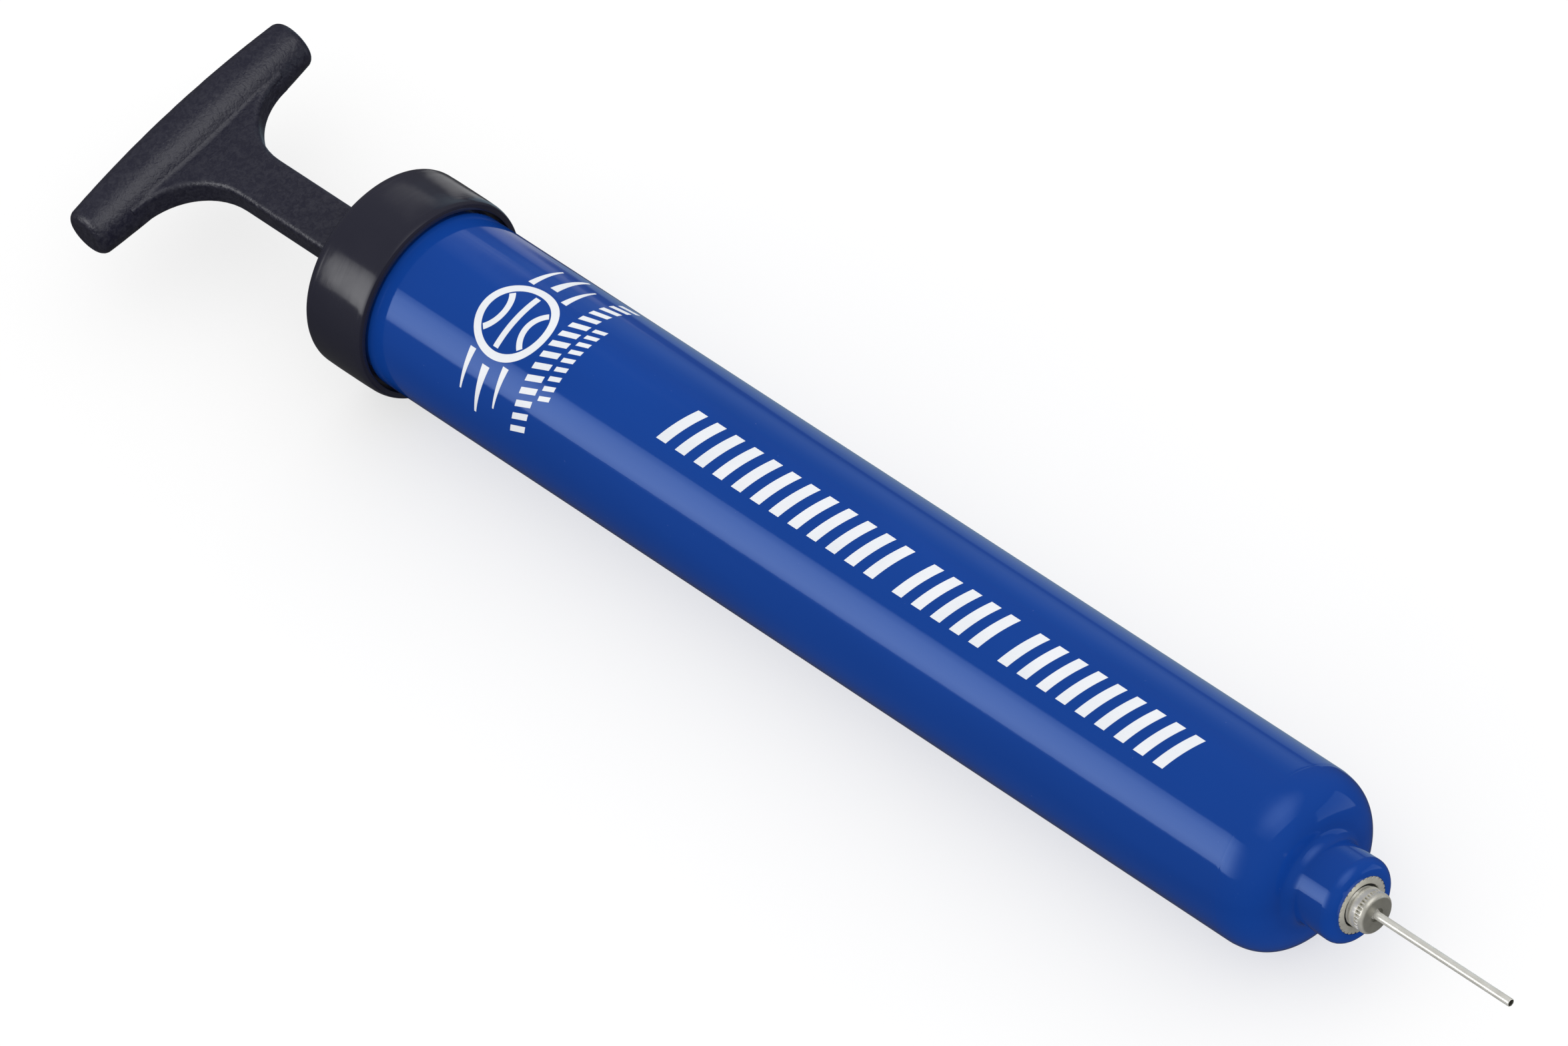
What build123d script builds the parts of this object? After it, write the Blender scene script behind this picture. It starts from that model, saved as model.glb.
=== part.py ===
from build123d import *
from math import acos, cos, pi, sin
import os

# A hand pump for sports balls: a closed-nosed barrel, a snap-on end collar, a one-piece T-handled
# plunger with a floating-ring piston, a ball check valve in the nozzle and a screw-in needle.
# It lies on its collar rim, with its axis along X, the needle towards +X and the T-bar along Y.
# The origin is under the middle of its whole length, on the surface that it lies on.
# "Station" is the distance along the pump's axis from the nozzle's front face, towards the needle.

# ---- driving dimensions, in millimetres ----
BARREL_RADIUS = 17.5
BARREL_WALL = 2.0
BARREL_END = -243.0            # station of the barrel's open end
COLLAR_SEAT_RADIUS = 17.15     # the barrel's outside where the collar snaps on
COLLAR_SEAT_START = -231.3
COLLAR_RADIUS = 19.7
COLLAR_FRONT = -231.2          # station of the collar's front rim
COLLAR_WALL = 3.1
BAR_STATION = -297.7           # station of the T-bar's centre line
BAR_RADIUS = 6.2               # at the middle of the T-bar
BAR_END_RADIUS = 4.8
BAR_LENGTH = 54.0
NEEDLE_REACH = 35.5            # station of the needle's tip

# barrel nose
SHOULDER_START = -19.7
SHOULDER_LENGTH = 9.8
SHOULDER_DEPTH = 12.2
SHOULDER_POWER = 2.7
NECK_BASE_RADIUS = 7.95
NECK_RADIUS = 8.2
NECK_ROUNDING = 2.1
NECK_FILLET = 2.2
SEAM_STATION = -18.2           # fine mould witness line round the barrel
SEAM_WIDTH = 0.4
SEAM_DEPTH = 0.15
BORE_RADIUS = BARREL_RADIUS - BARREL_WALL
BORE_FLOOR = -12.4
BORE_ROUNDING = 7.0

# check valve, in a boss on the bore's floor
VALVE_BOSS_RADIUS = 5.0
VALVE_BOSS_END = -17.2
THROAT_RADIUS = 1.5
CHAMBER_RADIUS = 2.9
CHAMBER_FLOOR = -16.0
SEAT_THICKNESS = 1.2
SEAT_SQUEEZE = 0.05
SEAT_HOLE_RADIUS = 1.3
VALVE_BALL_RADIUS = 2.2
SPRING_RADIUS = 1.4
SPRING_WIRE_RADIUS = 0.175
SPRING_TURNS = 4

# outlet insert and needle
INSERT_LENGTH = 7.6
INSERT_TIP_RADIUS = 5.6
INSERT_ROOT_RADIUS = 5.25
INSERT_TEETH = 32
INSERT_SQUEEZE = 0.05
INSERT_END_WALL = 1.3
INSERT_AIR_RADIUS = 1.1
SOCKET_RADIUS = 3.9
SOCKET_MOUTH_RADIUS = 4.15
SOCKET_MOUTH_DEPTH = 0.9
THREAD_CLEARANCE = 0.05
HUB_BACK = -6.1
HUB_FRONT = 3.7
HUB_GROOVE_START = -0.9        # groove for the sealing ring, just inside the socket's mouth
HUB_GROOVE_END = -0.24
HUB_GROOVE_RADIUS = 3.42
HUB_THREAD_END = 0.6
HUB_TIP_RADIUS = 3.9
HUB_ROOT_RADIUS = 3.62
HUB_TEETH = 34
HUB_KNURL_START = 1.85
HUB_KNURL_END = 3.1
HUB_ROUNDING = 0.55
HUB_RECESS_RADIUS = 1.35
HUB_RECESS_DEPTH = 0.5
TUBE_RADIUS = 0.75
TUBE_ROOT_RADIUS = 1.0         # swaged out where the hub holds it
TUBE_BORE_RADIUS = 0.48
TUBE_TIP_ROUNDING = 0.2
NEEDLE_RING_RADIUS = 0.31      # radius of the ring's round section

# plunger and piston
SHAFT_WIDTH = 10.1
SHAFT_THICKNESS = 5.7
SHAFT_EDGE = 1.1
SHAFT_END = -29.5
WEB_RADIUS = 14.0              # concave outline between shaft and T-bar
WEB_BITE = 0.85                # how far the web's outline runs into the T-bar's front line
BAR_END_ROUNDING = 1.7
WEB_BLEND = 1.0
PISTON_RADIUS = 15.42
PISTON_FRONT = -20.0
FLANGE = 2.5
GROOVE_WIDTH = 4.0
GROOVE_RADIUS = 12.0
PISTON_HUB_RADIUS = 8.0
PISTON_BACK = -35.0
FRONT_NOTCHES = 6
FRONT_NOTCH_RADIUS = 12.6
FRONT_NOTCH_WIDTH = 5.0
BACK_NOTCHES = 8
BACK_NOTCH_RADIUS = 14.8
BACK_NOTCH_WIDTH = 3.0
RING_RADIUS = 1.3              # radius of the piston ring's round section
RING_OUTER_RADIUS = 15.46
FIT_GAP = 0.05
BUMPER_THICKNESS = 4.0
BUMPER_RADIUS = 8.0

# piston screw, a pan head with a cross recess
SCREW_RADIUS = 1.5
SCREW_ROOT_RADIUS = 1.15
SCREW_PITCH = 1.2
SCREW_TURNS = 8
SCREW_HEAD_RADIUS = 2.8
SCREW_HEAD_HEIGHT = 2.0
SCREW_POCKET_RADIUS = 3.2
SCREW_POCKET_DEPTH = 2.8
SCREW_HOLE_RADIUS = 1.6
PILOT_RADIUS = 1.25
PILOT_DEPTH = 12.5

# collar
COLLAR_MOUTH_RADIUS = 18.15
COLLAR_MOUTH_DEPTH = 1.6
COLLAR_LIP_ROUNDING = 0.7
COLLAR_BACK_ROUNDING = 1.6
BEAD_STATION = -238.0
BEAD_HEIGHT = 0.35
BEAD_GAP = 0.05
BEAD_TOP = 0.8
BEAD_FOOT = 2.0
GUIDE_RADIUS = 9.0
GUIDE_END = -236.0
GUIDE_GAP = 0.1

# ---- worked-out places ----
AXIS_HEIGHT = COLLAR_RADIUS
NOZZLE_X = (BAR_RADIUS - BAR_STATION - NEEDLE_REACH) / 2
COLLAR_BACK = BARREL_END - COLLAR_WALL
GROOVE_BACK = PISTON_FRONT - FLANGE - GROOVE_WIDTH

PROFILE = Plane(origin=(NOZZLE_X, 0, AXIS_HEIGHT), x_dir=(1, 0, 0), z_dir=(0, -1, 0))
PLAN = Plane(origin=(NOZZLE_X, 0, AXIS_HEIGHT), x_dir=(1, 0, 0), z_dir=(0, 0, 1))
PUMP_AXIS = Axis((NOZZLE_X, 0, AXIS_HEIGHT), (1, 0, 0))
BAR_AXIS = Axis((NOZZLE_X + BAR_STATION, 0, AXIS_HEIGHT), (0, 1, 0))


def section(station):
    """The plane across the pump at a station, with its normal towards the needle."""
    return Plane(origin=(NOZZLE_X + station, 0, AXIS_HEIGHT), x_dir=(0, 1, 0), z_dir=(1, 0, 0))


def shoulder_point(turn):
    """A point of the superelliptic shoulder, from the cylinder (0) to the flat nose (pi / 2)."""
    reach = sin(turn) ** (2 / SHOULDER_POWER)
    kept = cos(turn) ** (2 / SHOULDER_POWER)
    station = SHOULDER_START + SHOULDER_LENGTH * reach
    return (station, BARREL_RADIUS - SHOULDER_DEPTH * (1 - kept))


def serrated_outline(teeth, root_radius, tip_radius):
    """Points of a straight knurl's section: a sharp tooth and a sharp valley in turn."""
    corners = []
    for step in range(2 * teeth):
        radius = tip_radius if step % 2 else root_radius
        corners.append((radius * cos(pi * step / teeth), radius * sin(pi * step / teeth)))
    return corners


def finish(piece, name):
    """Label a finished piece and write it to its own file."""
    piece.part.label = name
    export_step(piece.part, f"parts/{name}.step")


os.makedirs("parts", exist_ok=True)

# ---- barrel: cylinder, shoulder, nozzle neck, valve boss and snap bead in one moulding ----
neck_turn = acos((1 - (BARREL_RADIUS - NECK_BASE_RADIUS) / SHOULDER_DEPTH) ** (SHOULDER_POWER / 2))
shoulder = [shoulder_point(neck_turn * step / 9) for step in range(10)]
neck_foot = shoulder[-1]

with BuildPart() as barrel:
    with BuildSketch(PROFILE):
        with BuildLine():
            Polyline(
                (BARREL_END, BORE_RADIUS),
                (BARREL_END, COLLAR_SEAT_RADIUS),
                (BEAD_STATION - BEAD_FOOT / 2, COLLAR_SEAT_RADIUS),
                (BEAD_STATION - BEAD_TOP / 2, COLLAR_SEAT_RADIUS + BEAD_HEIGHT),
                (BEAD_STATION + BEAD_TOP / 2, COLLAR_SEAT_RADIUS + BEAD_HEIGHT),
                (BEAD_STATION + BEAD_FOOT / 2, COLLAR_SEAT_RADIUS),
                (COLLAR_SEAT_START, COLLAR_SEAT_RADIUS),
                (COLLAR_SEAT_START, BARREL_RADIUS),
                (SHOULDER_START, BARREL_RADIUS),
            )
            Spline(*shoulder, tangents=[(1, 0), (0.12, -1)], tangent_scalars=[1, 1])
            Line(neck_foot, (-NECK_ROUNDING, NECK_RADIUS))
            RadiusArc((-NECK_ROUNDING, NECK_RADIUS), (0, NECK_RADIUS - NECK_ROUNDING), NECK_ROUNDING)
            Polyline(
                (0, NECK_RADIUS - NECK_ROUNDING),
                (0, INSERT_TIP_RADIUS - INSERT_SQUEEZE),
                (-INSERT_LENGTH, INSERT_TIP_RADIUS - INSERT_SQUEEZE),
                (-INSERT_LENGTH, CHAMBER_RADIUS),
                (CHAMBER_FLOOR, CHAMBER_RADIUS),
                (CHAMBER_FLOOR, THROAT_RADIUS),
                (VALVE_BOSS_END, THROAT_RADIUS),
                (VALVE_BOSS_END, VALVE_BOSS_RADIUS),
                (BORE_FLOOR, VALVE_BOSS_RADIUS),
                (BORE_FLOOR, BORE_RADIUS - BORE_ROUNDING),
            )
            RadiusArc(
                (BORE_FLOOR, BORE_RADIUS - BORE_ROUNDING),
                (BORE_FLOOR - BORE_ROUNDING, BORE_RADIUS),
                -BORE_ROUNDING,
            )
            Line((BORE_FLOOR - BORE_ROUNDING, BORE_RADIUS), (BARREL_END, BORE_RADIUS))
        make_face()
    revolve(axis=PUMP_AXIS)
    neck_edges = barrel.edges().filter_by(GeomType.CIRCLE)
    neck_edge = neck_edges.sort_by_distance((NOZZLE_X + neck_foot[0], 0, AXIS_HEIGHT + neck_foot[1]))[0]
    fillet(neck_edge, NECK_FILLET)
    with BuildSketch(PROFILE):
        with BuildLine():
            Polyline(
                (SEAM_STATION - SEAM_WIDTH / 2, BARREL_RADIUS + SEAM_DEPTH),
                (SEAM_STATION, BARREL_RADIUS - SEAM_DEPTH),
                (SEAM_STATION + SEAM_WIDTH / 2, BARREL_RADIUS + SEAM_DEPTH),
                close=True,
            )
        make_face()
    revolve(axis=PUMP_AXIS, mode=Mode.SUBTRACT)
finish(barrel, "barrel")

# ---- end collar: snapped over the barrel's open end, with the slot that guides the shaft ----
bead_pocket_radius = COLLAR_SEAT_RADIUS + BEAD_HEIGHT + BEAD_GAP
with BuildPart() as end_collar:
    with BuildSketch(PROFILE):
        with BuildLine():
            Polyline(
                (COLLAR_BACK, 0),
                (COLLAR_BACK, COLLAR_RADIUS - COLLAR_BACK_ROUNDING),
            )
            RadiusArc(
                (COLLAR_BACK, COLLAR_RADIUS - COLLAR_BACK_ROUNDING),
                (COLLAR_BACK + COLLAR_BACK_ROUNDING, COLLAR_RADIUS),
                COLLAR_BACK_ROUNDING,
            )
            Line(
                (COLLAR_BACK + COLLAR_BACK_ROUNDING, COLLAR_RADIUS),
                (COLLAR_FRONT - COLLAR_LIP_ROUNDING, COLLAR_RADIUS),
            )
            RadiusArc(
                (COLLAR_FRONT - COLLAR_LIP_ROUNDING, COLLAR_RADIUS),
                (COLLAR_FRONT, COLLAR_RADIUS - COLLAR_LIP_ROUNDING),
                COLLAR_LIP_ROUNDING,
            )
            Polyline(
                (COLLAR_FRONT, COLLAR_RADIUS - COLLAR_LIP_ROUNDING),
                (COLLAR_FRONT, COLLAR_MOUTH_RADIUS),
                (COLLAR_FRONT - COLLAR_MOUTH_DEPTH, COLLAR_MOUTH_RADIUS),
                (COLLAR_FRONT - COLLAR_MOUTH_DEPTH, COLLAR_SEAT_RADIUS),
                (BEAD_STATION + BEAD_FOOT / 2 + BEAD_GAP, COLLAR_SEAT_RADIUS),
                (BEAD_STATION + BEAD_TOP / 2 + BEAD_GAP, bead_pocket_radius),
                (BEAD_STATION - BEAD_TOP / 2 - BEAD_GAP, bead_pocket_radius),
                (BEAD_STATION - BEAD_FOOT / 2 - BEAD_GAP, COLLAR_SEAT_RADIUS),
                (BARREL_END, COLLAR_SEAT_RADIUS),
                (BARREL_END, GUIDE_RADIUS),
                (GUIDE_END, GUIDE_RADIUS),
                (GUIDE_END, 0),
                (COLLAR_BACK, 0),
            )
        make_face()
    revolve(axis=PUMP_AXIS)
    with BuildSketch(section(COLLAR_BACK)):
        RectangleRounded(
            SHAFT_WIDTH + 2 * GUIDE_GAP,
            SHAFT_THICKNESS + 2 * GUIDE_GAP,
            SHAFT_EDGE + GUIDE_GAP,
        )
    extrude(amount=GUIDE_END - COLLAR_BACK, mode=Mode.SUBTRACT)
finish(end_collar, "end_collar")

# ---- plunger: T-bar, web and shaft in one moulding, with a pilot hole for the piston screw ----
bend_centre = (BAR_STATION + BAR_RADIUS - WEB_BITE + WEB_RADIUS, SHAFT_WIDTH / 2 + WEB_RADIUS)
with BuildPart() as plunger:
    with BuildSketch(PLAN):
        with BuildLine():
            Line((BAR_STATION, bend_centre[1]), (bend_centre[0] - WEB_RADIUS, bend_centre[1]))
            RadiusArc(
                (bend_centre[0] - WEB_RADIUS, bend_centre[1]),
                (bend_centre[0], SHAFT_WIDTH / 2),
                -WEB_RADIUS,
            )
            Polyline(
                (bend_centre[0], SHAFT_WIDTH / 2),
                (SHAFT_END, SHAFT_WIDTH / 2),
                (SHAFT_END, 0),
                (BAR_STATION, 0),
                (BAR_STATION, bend_centre[1]),
            )
        make_face()
        mirror(about=Plane.XZ)
    extrude(amount=SHAFT_THICKNESS / 2, both=True)
    long_edges = plunger.edges().filter_by(
        lambda edge: abs(abs(edge.center().Z - AXIS_HEIGHT) - SHAFT_THICKNESS / 2) < 0.01
        and abs(edge.center().Y) > SHAFT_WIDTH / 4
        and edge.center().X > NOZZLE_X + BAR_STATION + BAR_RADIUS - 1
        and edge.center().X < NOZZLE_X + SHAFT_END - 0.01
    )
    fillet(long_edges, SHAFT_EDGE)
    with BuildSketch(Plane(BAR_AXIS.position, x_dir=(0, 1, 0), z_dir=(0, 0, 1))):
        with BuildLine():
            ThreePointArc(
                (-BAR_LENGTH / 2, BAR_END_RADIUS),
                (0, BAR_RADIUS),
                (BAR_LENGTH / 2, BAR_END_RADIUS),
            )
            Polyline(
                (BAR_LENGTH / 2, BAR_END_RADIUS),
                (BAR_LENGTH / 2, 0),
                (-BAR_LENGTH / 2, 0),
                (-BAR_LENGTH / 2, BAR_END_RADIUS),
            )
        make_face()
        bar_corners = vertices().filter_by(lambda corner: corner.Y > BAR_END_RADIUS - 0.01)
        fillet(bar_corners, BAR_END_ROUNDING)
    revolve(axis=BAR_AXIS)
    blend_edges = plunger.edges().filter_by(
        lambda edge: edge.geom_type == GeomType.BSPLINE and abs(edge.center().Y) < SHAFT_WIDTH / 4
    )
    fillet(blend_edges, WEB_BLEND)
    with Locations(Location(section(SHAFT_END))):
        Hole(PILOT_RADIUS, PILOT_DEPTH)
finish(plunger, "plunger")

# ---- piston: a plain back flange that the ring seals on, and a notched front flange ----
with BuildPart() as piston:
    with BuildSketch(PROFILE):
        with BuildLine():
            Polyline(
                (PISTON_FRONT, 0),
                (PISTON_FRONT, PISTON_RADIUS),
                (PISTON_FRONT - FLANGE, PISTON_RADIUS),
                (PISTON_FRONT - FLANGE, GROOVE_RADIUS),
                (GROOVE_BACK, GROOVE_RADIUS),
                (GROOVE_BACK, PISTON_RADIUS),
                (GROOVE_BACK - FLANGE, PISTON_RADIUS),
                (GROOVE_BACK - FLANGE, PISTON_HUB_RADIUS),
                (PISTON_BACK, PISTON_HUB_RADIUS),
                (PISTON_BACK, 0),
                close=True,
            )
        make_face()
    revolve(axis=PUMP_AXIS)
    with BuildSketch(section(PISTON_FRONT - FLANGE)):
        notch_depth = PISTON_RADIUS + 1 - FRONT_NOTCH_RADIUS
        with PolarLocations(FRONT_NOTCH_RADIUS + notch_depth / 2, FRONT_NOTCHES):
            Rectangle(notch_depth, FRONT_NOTCH_WIDTH)
    extrude(amount=FLANGE, mode=Mode.SUBTRACT)
    with BuildSketch(section(GROOVE_BACK - FLANGE)):
        notch_depth = PISTON_RADIUS + 1 - BACK_NOTCH_RADIUS
        with PolarLocations(BACK_NOTCH_RADIUS + notch_depth / 2, BACK_NOTCHES):
            Rectangle(notch_depth, BACK_NOTCH_WIDTH)
    extrude(amount=FLANGE, mode=Mode.SUBTRACT)
    with BuildSketch(section(PISTON_BACK)):
        RectangleRounded(SHAFT_WIDTH + 2 * FIT_GAP, SHAFT_THICKNESS + 2 * FIT_GAP, SHAFT_EDGE)
    extrude(amount=SHAFT_END - PISTON_BACK, mode=Mode.SUBTRACT)
    with BuildSketch(section(PISTON_FRONT)):
        Circle(SCREW_POCKET_RADIUS)
    extrude(amount=-SCREW_POCKET_DEPTH, mode=Mode.SUBTRACT)
    with BuildSketch(section(SHAFT_END)):
        Circle(SCREW_HOLE_RADIUS)
    extrude(amount=PISTON_FRONT - SHAFT_END, mode=Mode.SUBTRACT)
finish(piston, "piston")

# ---- piston screw: cross-recessed pan head and a thread-forming shank ----
head_seat = PISTON_FRONT - SCREW_POCKET_DEPTH
head_top = head_seat + SCREW_HEAD_HEIGHT
thread_end = SHAFT_END - SCREW_PITCH * SCREW_TURNS
thread_side = [(SHAFT_END, SCREW_RADIUS)]
for turn in range(SCREW_TURNS):
    crest = SHAFT_END - SCREW_PITCH * (turn + 1)
    thread_side.append((crest + SCREW_PITCH / 2, SCREW_ROOT_RADIUS))
    thread_side.append((crest, SCREW_RADIUS))
with BuildPart() as piston_screw:
    with BuildSketch(PROFILE):
        with BuildLine():
            ThreePointArc(
                (head_top, 0),
                (head_top - 0.2, SCREW_HEAD_RADIUS * 0.6),
                (head_seat + SCREW_HEAD_HEIGHT / 2, SCREW_HEAD_RADIUS),
            )
            Polyline(
                (head_seat + SCREW_HEAD_HEIGHT / 2, SCREW_HEAD_RADIUS),
                (head_seat, SCREW_HEAD_RADIUS),
                (head_seat, SCREW_RADIUS),
                *thread_side,
                (thread_end - SCREW_PITCH, 0),
                (head_top, 0),
            )
        make_face()
    revolve(axis=PUMP_AXIS)
    with BuildSketch(section(head_top)):
        Rectangle(2.6, 0.7)
        Rectangle(0.7, 2.6)
    extrude(amount=-1.2, taper=8, mode=Mode.SUBTRACT)
finish(piston_screw, "piston_screw")

# ---- piston ring: a floating O-ring, here seated on the back flange ----
with BuildPart() as piston_o_ring:
    with BuildSketch(PROFILE):
        with Locations((GROOVE_BACK + RING_RADIUS + 0.01, RING_OUTER_RADIUS - RING_RADIUS)):
            Circle(RING_RADIUS)
    revolve(axis=PUMP_AXIS)
finish(piston_o_ring, "piston_o_ring")

# ---- stop bumper: a rubber ring round the shaft behind the piston ----
with BuildPart() as stop_bumper:
    with BuildSketch(section(PISTON_BACK)):
        Circle(BUMPER_RADIUS)
        RectangleRounded(
            SHAFT_WIDTH + 2 * FIT_GAP,
            SHAFT_THICKNESS + 2 * FIT_GAP,
            SHAFT_EDGE,
            mode=Mode.SUBTRACT,
        )
    extrude(amount=-BUMPER_THICKNESS)
    rims = stop_bumper.edges().filter_by(GeomType.CIRCLE).group_by(SortBy.RADIUS)[-1]
    chamfer(rims, 0.6)
finish(stop_bumper, "stop_bumper")

# ---- check valve: rubber seat, steel ball and its closing spring ----
seat_face = CHAMBER_FLOOR + SEAT_THICKNESS
ball_rise = (VALVE_BALL_RADIUS**2 - SEAT_HOLE_RADIUS**2) ** 0.5
ball_station = seat_face + ball_rise + 0.01
with BuildPart() as valve_seat:
    with BuildSketch(section(CHAMBER_FLOOR)):
        Circle(CHAMBER_RADIUS + SEAT_SQUEEZE)
        Circle(SEAT_HOLE_RADIUS, mode=Mode.SUBTRACT)
    extrude(amount=SEAT_THICKNESS)
finish(valve_seat, "valve_seat")

with BuildPart() as valve_ball:
    with Locations((NOZZLE_X + ball_station, 0, AXIS_HEIGHT)):
        Sphere(VALVE_BALL_RADIUS)
finish(valve_ball, "valve_ball")

spring_foot = ball_station + (VALVE_BALL_RADIUS**2 - SPRING_RADIUS**2) ** 0.5 + 0.23
spring_height = -INSERT_LENGTH - SPRING_WIRE_RADIUS - 0.02 - spring_foot
with BuildPart() as valve_spring:
    with BuildLine():
        coil = Helix(
            pitch=spring_height / SPRING_TURNS,
            height=spring_height,
            radius=SPRING_RADIUS,
            center=(NOZZLE_X + spring_foot, 0, AXIS_HEIGHT),
            direction=(1, 0, 0),
        )
    with BuildSketch(Plane(origin=coil @ 0, z_dir=coil % 0)):
        Circle(SPRING_WIRE_RADIUS)
    sweep()
finish(valve_spring, "valve_spring")

# ---- outlet insert: a knurled, internally threaded metal bush pressed into the nozzle ----
with BuildPart() as outlet_insert:
    with BuildSketch(section(-INSERT_LENGTH)):
        with BuildLine():
            Polyline(*serrated_outline(INSERT_TEETH, INSERT_ROOT_RADIUS, INSERT_TIP_RADIUS), close=True)
        make_face()
    extrude(amount=INSERT_LENGTH)
    with BuildSketch(section(-INSERT_LENGTH)):
        Circle(INSERT_AIR_RADIUS)
    extrude(amount=INSERT_END_WALL, mode=Mode.SUBTRACT)
    with BuildSketch(section(-INSERT_LENGTH + INSERT_END_WALL)):
        Circle(SOCKET_RADIUS)
    extrude(amount=INSERT_LENGTH - INSERT_END_WALL, mode=Mode.SUBTRACT)
    with BuildSketch(section(-SOCKET_MOUTH_DEPTH)):
        Circle(SOCKET_MOUTH_RADIUS)
    extrude(amount=SOCKET_MOUTH_DEPTH, mode=Mode.SUBTRACT)
finish(outlet_insert, "outlet_insert")

# ---- needle: captive sealing ring, knurled threaded hub and the tube crimped into it ----
with BuildPart() as needle_seal_ring:
    with BuildSketch(PROFILE):
        ring_station = (HUB_GROOVE_START + HUB_GROOVE_END) / 2
        with Locations((ring_station, HUB_GROOVE_RADIUS + NEEDLE_RING_RADIUS + 0.01)):
            Circle(NEEDLE_RING_RADIUS)
    revolve(axis=PUMP_AXIS)
finish(needle_seal_ring, "needle_seal_ring")

with BuildPart() as needle_hub:
    with BuildSketch(section(HUB_BACK)):
        Circle(SOCKET_RADIUS - THREAD_CLEARANCE)
    extrude(amount=HUB_THREAD_END - HUB_BACK)
    with BuildSketch(section(HUB_GROOVE_START)):
        Circle(SOCKET_RADIUS)
        Circle(HUB_GROOVE_RADIUS, mode=Mode.SUBTRACT)
    extrude(amount=HUB_GROOVE_END - HUB_GROOVE_START, mode=Mode.SUBTRACT)
    with BuildSketch(section(HUB_THREAD_END)):
        Circle(HUB_TIP_RADIUS)
    extrude(amount=HUB_KNURL_START - HUB_THREAD_END)
    with BuildSketch(section(HUB_KNURL_START)):
        with BuildLine():
            Polyline(*serrated_outline(HUB_TEETH, HUB_ROOT_RADIUS, HUB_TIP_RADIUS), close=True)
        make_face()
    extrude(amount=HUB_KNURL_END - HUB_KNURL_START)
    with BuildSketch(section(HUB_KNURL_END)):
        Circle(HUB_TIP_RADIUS)
    extrude(amount=HUB_FRONT - HUB_KNURL_END)
    front_edges = needle_hub.edges().group_by(Axis.X)[-1]
    fillet(front_edges, HUB_ROUNDING)
    with BuildSketch(section(HUB_BACK)):
        Circle(TUBE_ROOT_RADIUS)
    extrude(amount=HUB_FRONT - HUB_BACK, mode=Mode.SUBTRACT)
    with BuildSketch(section(HUB_FRONT)):
        Circle(HUB_RECESS_RADIUS)
    extrude(amount=-HUB_RECESS_DEPTH, mode=Mode.SUBTRACT)
finish(needle_hub, "needle_hub")

with BuildPart() as needle_tube:
    with BuildSketch(section(HUB_BACK)):
        Circle(TUBE_ROOT_RADIUS)
    extrude(amount=HUB_FRONT - HUB_RECESS_DEPTH - HUB_BACK)
    with BuildSketch(section(HUB_BACK)):
        Circle(TUBE_RADIUS)
    extrude(amount=NEEDLE_REACH - HUB_BACK)
    with BuildSketch(section(HUB_BACK)):
        Circle(TUBE_BORE_RADIUS)
    extrude(amount=NEEDLE_REACH - HUB_BACK, mode=Mode.SUBTRACT)
    tip_edge = needle_tube.edges().group_by(Axis.X)[-1].sort_by(SortBy.RADIUS)[-1]
    fillet(tip_edge, TUBE_TIP_ROUNDING)
finish(needle_tube, "needle_tube")
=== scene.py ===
import bmesh
import bpy
import math
from mathutils import Euler, Matrix, Vector


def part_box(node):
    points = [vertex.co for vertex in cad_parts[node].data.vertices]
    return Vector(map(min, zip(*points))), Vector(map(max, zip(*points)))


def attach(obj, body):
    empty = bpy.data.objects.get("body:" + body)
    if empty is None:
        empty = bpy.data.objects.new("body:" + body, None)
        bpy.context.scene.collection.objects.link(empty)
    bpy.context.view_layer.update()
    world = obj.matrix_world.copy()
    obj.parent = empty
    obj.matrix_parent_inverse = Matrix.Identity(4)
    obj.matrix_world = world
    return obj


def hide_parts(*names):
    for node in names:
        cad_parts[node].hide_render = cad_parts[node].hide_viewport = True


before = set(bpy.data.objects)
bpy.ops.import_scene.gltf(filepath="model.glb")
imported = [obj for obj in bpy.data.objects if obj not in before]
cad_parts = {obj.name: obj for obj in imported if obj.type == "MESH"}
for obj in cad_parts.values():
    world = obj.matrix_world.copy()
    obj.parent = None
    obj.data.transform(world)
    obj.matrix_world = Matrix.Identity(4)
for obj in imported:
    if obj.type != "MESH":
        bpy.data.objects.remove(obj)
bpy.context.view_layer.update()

# Lengths of the pump are in millimetres, and MM turns them into Blender's metres.
# "Station" is the distance along the pump's axis from the nozzle's front face, towards the needle.
# "Around" is the angle about that axis from straight up (+Z) towards +Y, in degrees.
MM = 0.001
BARREL_LOW, BARREL_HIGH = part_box("barrel")
NOZZLE_X = BARREL_HIGH.x
AXIS_Z = (BARREL_LOW.z + BARREL_HIGH.z) / 2
RIM_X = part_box("end_collar")[1].x
THREAD_PITCH = 0.794

BARREL_RADIUS = 17.5
BARREL_END = -243
COLLAR_SEAT_RADIUS = 17.15
COLLAR_SEAT_START = -231.3
SHOULDER_START = -19.7
SHOULDER_LENGTH = 9.8
SHOULDER_DEPTH = 12.2
SHOULDER_POWER = 2.7
MOULD_LINE_END = -17.7          # where the shoulder's own curve takes over
NECK_RADIUS = 8.2
NECK_FOOT_RADIUS = 7.95
NECK_ROUNDING = 2.1
NECK_FILLET = 2.2
BORE_RADIUS = 15.5
BORE_FLOOR = -12.4
BORE_ROUNDING = 7.0
VALVE_BOSS_RADIUS = 5
VALVE_BOSS_END = -17.2
VALVE_CHAMBER_RADIUS = 2.9
VALVE_CHAMBER_FLOOR = -16
VALVE_THROAT_RADIUS = 1.5

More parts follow.
